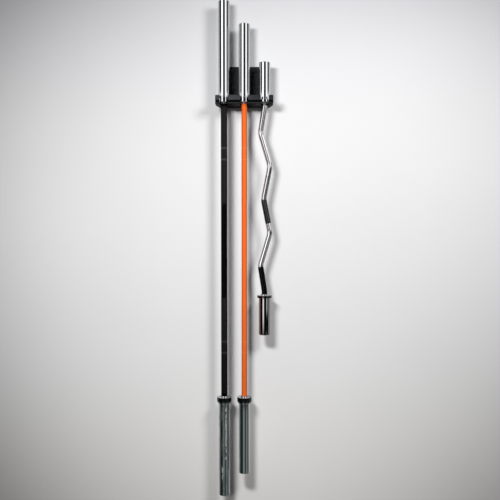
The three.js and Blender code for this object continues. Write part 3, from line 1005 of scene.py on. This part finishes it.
# The soft panels that bright metal mirrors. Each has a level, then the azimuths where it starts, is full,
# is last full and ends, then the same for elevations, in degrees. Azimuth 0 is towards the camera, and + is
# to the right. A panel with two elevations has no upper end.
PANELS = (
    (1.5, -54, -50, -19, -15, -5, -1),
    (1.25, 22, 26, 55, 59, 3, 8),
    (1.35, -42, -38, -14, -9, -9.8, -7.2, -6.2, -5.4),
    (0.8, 36, 40, 58, 63, -7.8, -6.8, -6.2, -5.4),
    (0.4, 24, 30, 60, 66, -13.8, -12.8, -10.0, -8.8),
    (1.2, 48, 54, 86, 90, 18.5, 19.5),
    (1.1, -94, -90, -56, -50, 9.7, 10.0, 10.9, 11.1),
    (1.1, 55, 60, 88, 92, 9.7, 10.0, 10.9, 11.1),
    (0.2, -32, -26, 5, 10, -30, -26, -15.4, -14.7),
    (0.155, 26, 31, 70, 78, -30, -26, -15.4, -14.7),
    (0.3, -200, -190, -5, 10, -4.8, -3.4, 8.2, 9.4),
    (0.3, -5, 10, 190, 200, 0.5, 3, 8.2, 9.4),
    (0.3, -200, -190, 190, 200, -13.8, -13, -10.4, -9.8),
)
# The faint light above and below the panels: the elevations where it starts and is full, and its levels there
GLOW_ABOVE = (2, 8, 0.003, 0.024)
GLOW_BELOW = (-13, -15, 0.0, 0.014)
# The floor's tint in bright metal, and the elevations between which it fades out
FLOOR_TINT = (0.86, 1.0, 0.97)
TINT_FADE = (-14, -9)
EVEN_LIGHT = 0.07
PALE_BACKDROP = 0.72
DEGREES = 180 / math.pi
# Name, place, point that it faces, width, height and power
LAMPS = (
    ("left_light", (-0.53, -1.86, 0.17), (0.0, 0.0, -0.9), 0.56, 0.3, 6.8),
    ("right_light", (1.0, -1.69, 0.48), (0.0, 0.0, -0.7), 0.6, 0.6, 4.4),
)

STAGE_HALF_WIDTH = 3.2
WALL_Y = 0.001
WALL_TOP = 2.4
FLOOR_Z = -2.05
FLOOR_DEPTH = 3.2
# The place that the wall's shade is measured from, and the spans past which the shade stays as it is
WALL_PEAK = (0.2, -0.55)
WALL_SPAN_X = (-1.3, 1.3)
WALL_SPAN_Z = (-2.0, 0.6)
# The heights between which the wall's tone goes from warm to cool, and its shade as bright metal mirrors it
WALL_TONE_Z = (-1.9, 0.4)
WALL_IN_METAL = 0.75
# How the wall's paint darkens away from that place, a painted pool of light: powers of the places across and
# up, and a factor
WALL_LEVEL = -0.118
WALL_FALLOFF = ((1, 0, 0.055), (0, 1, 0.115), (1, 1, 0.099), (0, 3, -0.151), (2, 2, -0.241), (0, 4, -0.114),
                (6, 0, -0.033))


def camera():
    data = bpy.data.cameras.new("camera")
    data.lens = CAMERA_LENS
    data.sensor_width = CAMERA_SENSOR
    data.clip_start = CAMERA_CLIP
    seen_from = bpy.data.objects.new("camera", data)
    seen_from.location = CAMERA_PLACE
    seen_from.rotation_euler = (math.radians(CAMERA_TILT), 0, 0)
    bpy.context.scene.collection.objects.link(seen_from)
    bpy.context.scene.camera = seen_from


def plane(name, corners, material):
    """A part of the stage."""
    mesh = bpy.data.meshes.new(name)
    mesh.from_pydata(corners, [], [(0, 1, 2, 3)])
    made = bpy.data.objects.new(name, mesh)
    made.data.materials.append(material)
    bpy.context.scene.collection.objects.link(made)
    return made


def one_sided(s):
    """Lets a stage surface be seen through from behind."""
    clear = s.node("ShaderNodeBsdfTransparent")
    behind = s.node("ShaderNodeNewGeometry").outputs["Backfacing"]
    both = s.node("ShaderNodeMixShader", {0: behind, 1: s.shader.outputs[0], 2: clear.outputs[0]})
    s.link(both.outputs[0], s.output.inputs["Surface"])
    return s.material


def wall_paint():
    """Pale matt paint with a painted pool of light, darkening away from it, and darker where bright metal
    mirrors it than to the eye.
    """
    s = Surface("wall_paint")
    axes = s.axes()
    across = s.range(axes["X"], *WALL_SPAN_X, *(x - WALL_PEAK[0] for x in WALL_SPAN_X), smooth=False)
    up = s.range(axes["Z"], *WALL_SPAN_Z, *(z - WALL_PEAK[1] for z in WALL_SPAN_Z), smooth=False)
    # Painted light: the paint is brightest near WALL_PEAK and darkens away from it
    total = WALL_LEVEL
    for across_power, up_power, factor in WALL_FALLOFF:
        term = factor
        for value in [across] * across_power + [up] * up_power:
            term = s.math("MULTIPLY", term, value)
        total = s.math("ADD", total, term)
    tone = s.ramp(s.range(axes["Z"], *WALL_TONE_Z, smooth=False),
                  (0.0, (1.02, 1.0, 0.985)), (0.35, (1.0, 1.0, 1.003)), (0.75, (1.0, 1.0, 1.008)),
                  (1.0, (1.0, 1.0, 1.028)))
    grain = s.range(s.noise(2.2, 3), 0.2, 0.8, 0.99, 1.01)
    in_metal = s.range(s.node("ShaderNodeLightPath").outputs["Is Glossy Ray"], 0, 1, 1.0, WALL_IN_METAL)
    shade = s.math("MULTIPLY", s.math("MULTIPLY", s.math("EXPONENT", total), grain), in_metal)
    s.set(base_color=s.node("ShaderNodeVectorMath", {0: tone, 1: shade}, operation="MULTIPLY").outputs[0])
    s.set(roughness=0.9, specular_ior_level=0.0)
    return one_sided(s)


def floor_paint():
    """Pale grey, a little uneven."""
    s = Surface("floor_paint")
    s.set(base_color=s.ramp(s.noise(1.5, 3), (0.2, (0.62, 0.62, 0.61)), (0.8, (0.66, 0.66, 0.65))))
    s.set(roughness=0.85, specular_ior_level=0.1)
    return one_sided(s)


def stage():
    """A wall just behind the plate and a floor, each seen through from behind."""
    left, right = -STAGE_HALF_WIDTH, STAGE_HALF_WIDTH
    foot = [(left, WALL_Y, FLOOR_Z), (right, WALL_Y, FLOOR_Z)]
    top = [(right, WALL_Y, WALL_TOP), (left, WALL_Y, WALL_TOP)]
    wall = plane("wall", [*foot, *top], wall_paint())
    wall.visible_diffuse = False
    wall.visible_shadow = False
    front = WALL_Y - FLOOR_DEPTH
    floor = plane("floor", [(left, front, FLOOR_Z), (right, front, FLOOR_Z), *reversed(foot)], floor_paint())
    floor.visible_glossy = False
    floor.visible_diffuse = False


def lamp(name, place, aim, width, height, power):
    """An oval soft light whose strength is the same at any distance."""
    data = bpy.data.lights.new(name, "AREA")
    data.energy = power
    data.shape = "ELLIPSE"
    data.size = width
    data.size_y = height
    data.use_nodes = True
    tree = data.node_tree
    falloff = tree.nodes.new("ShaderNodeLightFalloff")
    falloff.inputs["Strength"].default_value = 1.0
    tree.links.new(falloff.outputs["Constant"], tree.nodes["Emission"].inputs["Strength"])
    made = bpy.data.objects.new(name, data)
    made.location = place
    made.rotation_euler = (Vector(aim) - Vector(place)).to_track_quat("-Z", "Y").to_euler()
    made.visible_glossy = False
    made.visible_camera = False
    bpy.context.scene.collection.objects.link(made)


def studio():
    """Even light for matt surfaces, soft panels with dark gaps between for bright metal, and two lamps."""
    world = bpy.data.worlds.new("studio")
    bpy.context.scene.world = world
    world.use_nodes = True
    s = Nodes(world.node_tree)
    output = s.node("ShaderNodeOutputWorld")
    direction = s.axes("Generated")
    towards_camera = s.math("MULTIPLY", direction["Y"], -1.0)
    azimuth = s.math("MULTIPLY", s.math("ARCTAN2", direction["X"], towards_camera), DEGREES)
    elevation = s.math("MULTIPLY", s.math("ARCSINE", direction["Z"]), DEGREES)

    def panel(level, start, full, last_full, end, low, low_full, *top):
        """One row of PANELS."""
        across = s.math("MULTIPLY", s.range(azimuth, start, full), s.range(azimuth, end, last_full))
        up = s.range(elevation, low, low_full)
        if top:
            high_full, high = top
            up = s.math("MULTIPLY", up, s.range(elevation, high, high_full))
        return s.math("MULTIPLY", s.math("MULTIPLY", across, up), level)

    total = s.math("ADD", s.range(elevation, *GLOW_ABOVE), s.range(elevation, *GLOW_BELOW))
    for row in PANELS:
        total = s.math("ADD", total, panel(*row))
    tint = s.mix(s.range(elevation, *TINT_FADE), FLOOR_TINT, (1.0, 1.0, 1.0))
    mirrored_light = s.node("ShaderNodeBackground", {"Color": tint, "Strength": total})
    even = s.node("ShaderNodeBackground", {"Color": (1.0, 1.0, 1.0, 1), "Strength": EVEN_LIGHT})
    pale_colour = (PALE_BACKDROP, PALE_BACKDROP, PALE_BACKDROP, 1)
    pale = s.node("ShaderNodeBackground", {"Color": pale_colour, "Strength": 1.0})
    path = s.node("ShaderNodeLightPath").outputs
    light = s.node("ShaderNodeMixShader", {
        0: path["Is Glossy Ray"], 1: even.outputs[0], 2: mirrored_light.outputs[0],
    })
    backdrop = s.node("ShaderNodeMixShader", {
        0: path["Is Camera Ray"], 1: light.outputs[0], 2: pale.outputs[0],
    })
    s.link(backdrop.outputs[0], output.inputs["Surface"])
    for settings in LAMPS:
        lamp(*settings)


# The whole object
def dress(piece, body, node, material):
    """Puts a piece in the place of a CAD node."""
    piece.data.materials.clear()
    piece.data.materials.append(material)
    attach(piece, body)
    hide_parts(node)


def coat_node(node, material):
    """Gives a CAD node that stays a better material."""
    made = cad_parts[node]
    made.data.materials.clear()
    made.data.materials.append(material)


def build_rack():
    coat, plastic = powder_coat(), soft_plastic()
    zinc = dark_metal("black_zinc", (0.035, 0.035, 0.038), (0.07, 0.07, 0.075), 0.36)
    dress(bracket(), "rack", "rack_bracket", coat)
    for bar_name, bar in BARS.items():
        pad = finished(f"{bar_name}_pad", seat_pad(bar["x"]))
        dress(pad, "rack", f"{bar_name}_seat_pad", plastic)
    for place, (x, z) in SCREW_PLACES.items():
        bolt = finished(f"{place}_bolt", screw_mesh(), (x, 0, z), INTO_VIEW, HEAD_SHARP_ANGLE)
        dress(bolt, "rack", f"{place}_screw", zinc)
        ring = finished(f"{place}_ring", washer_mesh(), (x, 0, z), INTO_VIEW)
        dress(ring, "rack", f"{place}_washer", zinc)


def bar_grips():
    """Each bar's material slot and material."""
    return {
        "left_bar": ("black_grip", coated_grip(
            "black_grip", BARS["left_bar"],
            smooth=(0.0022, 0.0022, 0.0024), rough=(0.017, 0.017, 0.018), mark=(0.06, 0.06, 0.062),
            roughness=(0.3, 0.5), specular=0.02, strength=(0.4, 1.0),
        )),
        "middle_bar": ("orange_grip", coated_grip(
            "orange_grip", BARS["middle_bar"],
            smooth=(1.0, 0.165, 0.024), rough=(1.0, 0.175, 0.03), mark=(1.0, 0.2, 0.045),
            roughness=(0.42, 0.55), specular=0.3, strength=(0.85, 1.0),
        )),
        "curl_bar": ("chrome_grip", chrome_grip(BARS["curl_bar"])),
    }


def build_bars():
    polished = (0.95, 0.955, 0.96)
    spring = dark_metal("spring_steel", (0.14, 0.14, 0.15), (0.24, 0.24, 0.25), 0.34)
    sleeve = bright_metal("chrome_sleeve", (0.80, 0.81, 0.82), 0.03, 0.03)
    scuffed = bright_metal("chrome_sleeve_scuffed", (0.74, 0.77, 0.78), 0.06, 0.06, mottle=0.16)
    # The curl bar's lower sleeve: a darker copy of the sleeve chrome with a weak reflection at grazing
    # angles, painted shade, whose faces that look up stay polished
    shaded_sleeve = bright_metal("chrome_sleeve_shaded", (0.5, 0.5, 0.51), 0.03, 0.03, rim=0.3, top=polished)
    collar = bright_metal("chrome_collar", (0.78, 0.79, 0.80), 0.04, 0.03)
    # The lower collars: a dark copy of the collar chrome, painted shade, whose faces that look up stay
    # polished and whose narrow band is less dark
    shaded = bright_metal("chrome_collar_shaded", (0.13, 0.135, 0.14), 0.05, 0.04,
                          rim=0.0, top=polished, band=(0.5, 0.51, 0.52))
    hub = bright_metal("hub_steel", (0.66, 0.665, 0.67), 0.16, 0.06)
    bronze = bright_metal("bronze_bushing", (0.46, 0.29, 0.12), 0.3, 0.1)
    grips = bar_grips()
    makers = {
        "sleeve": (sleeve_mesh, sleeve, "chrome_sleeve"),
        "collar": (collar_mesh, collar, "chrome_collar"),
        "inner_bushing": (bushing_mesh, hub, "hub_steel"),
        "end_cap": (cap_mesh, collar, "chrome_sleeve"),
    }
    # Lower pieces that look different from the others of their kind: the long bar's sleeve is scuffed, while
    # the curl bar's sleeve and the collars are darker copies, painted shade
    worn = {
        "left_bar_lower_sleeve": scuffed,
        "curl_bar_lower_sleeve": shaded_sleeve,
        **{f"{bar_name}_lower_collar": shaded for bar_name in BARS},
    }
    for bar_name, bar in BARS.items():
        axis = (bar["x"], -STAND_OFF, COLLAR_SEAT)
        shaft = curl_shaft(bar) if bar_name == "curl_bar" else straight_shaft(bar)
        grip_slot, grip = grips[bar_name]
        dress(finished(f"{bar_name}_grip", shaft, axis), bar_name, f"{bar_name}_shaft", grip)
        for side in ("upper", "lower"):
            flip = None if side == "upper" else Matrix.Rotation(math.pi, 4, "X")
            place = axis if side == "upper" else (axis[0], axis[1], axis[2] - bar["length"])
            body = f"{bar_name}_{side}_end"
            for part, (make, material, slot) in makers.items():
                piece = finished(f"{body}_{part}", make(bar), place, flip)
                node = f"{bar_name}_{side}_{part}"
                dress(piece, body, node, worn.get(node, material))
            coat_node(f"{bar_name}_{side}_outer_bushing", bronze)
            coat_node(f"{bar_name}_{side}_snap_ring", spring)


build_rack()
build_bars()
camera()
stage()
studio()
bpy.context.scene.view_settings.view_transform = "Standard"
